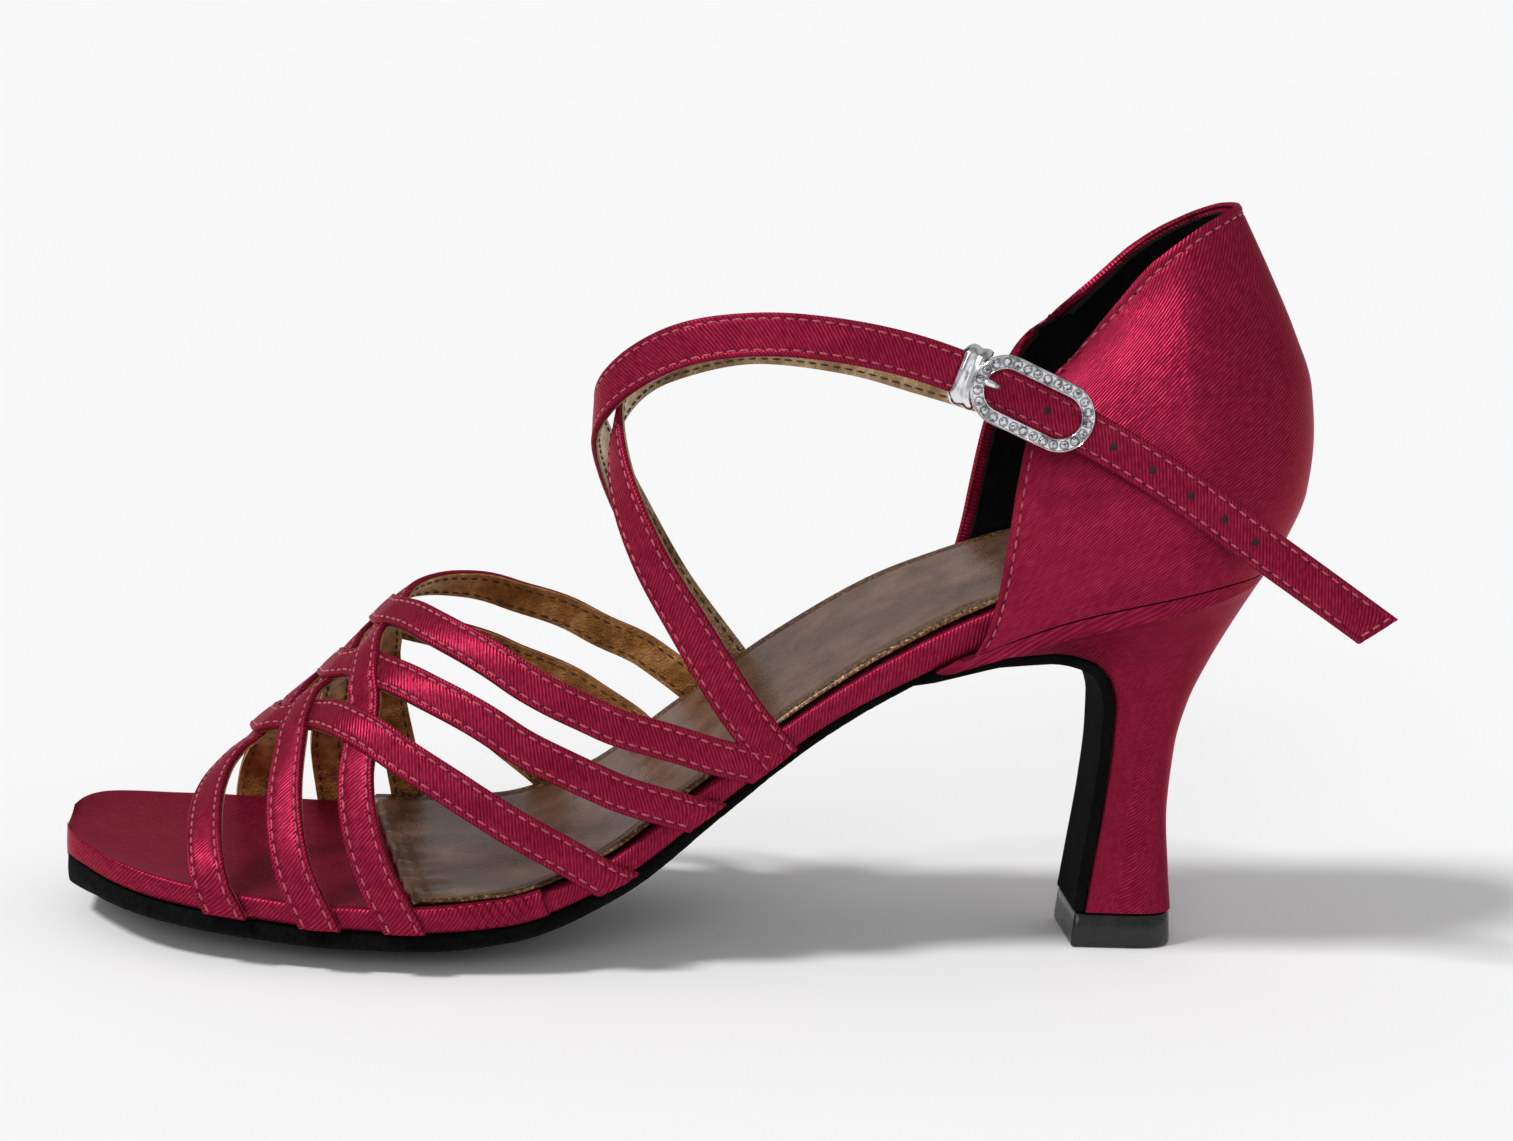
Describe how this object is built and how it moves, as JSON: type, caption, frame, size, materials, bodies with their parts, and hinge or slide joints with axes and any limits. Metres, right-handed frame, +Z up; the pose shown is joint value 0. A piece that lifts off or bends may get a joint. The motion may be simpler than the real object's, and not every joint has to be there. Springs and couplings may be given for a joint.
{
  "type": "ballroom dance shoe",
  "caption": "Open-toe ballroom dance sandal in burgundy satin: woven vamp straps, crossed instep straps with an oval jewelled buckle, closed heel cup and a flared high heel.",
  "frame": {"origin": "centre of the heel tip's bottom face, on the floor plane", "axes": "+X from toe to heel, along the shoe; -Y is the shoe's outer (lateral) side and +Y its inner side; +Z up"},
  "size_m": [0.2423, 0.0803, 0.1429],
  "materials": {
    "outsole": "black suede",
    "platform": "burgundy satin wrap",
    "insole": "glossy bronze leather",
    "heel": "burgundy satin wrap",
    "heel_tip": "black top piece",
    "counter": "burgundy satin with a dark suede lining",
    "vamp_straps": "folded burgundy satin on a gold leather lining",
    "instep_straps": "folded burgundy satin on a gold leather lining",
    "buckle_frame": "bright metal set with clear stones",
    "buckle_bar": "bright wire",
    "buckle_prong": "bright wire",
    "buckle_keeper": "bright stamped loop",
    "buckle_tab": "burgundy satin tab"
  },
  "bodies": {
    "root": {"outsole": "outsole", "platform": "platform", "insole": "insole", "heel": "heel", "heel_tip": "heel_tip", "counter": "counter", "vamp_straps": "vamp_straps", "instep_straps": "instep_straps", "buckle_frame": "buckle_frame", "buckle_bar": "buckle_bar", "buckle_prong": "buckle_prong", "buckle_keeper": "buckle_keeper", "buckle_tab": "buckle_tab"}
  },
  "joints": []
}
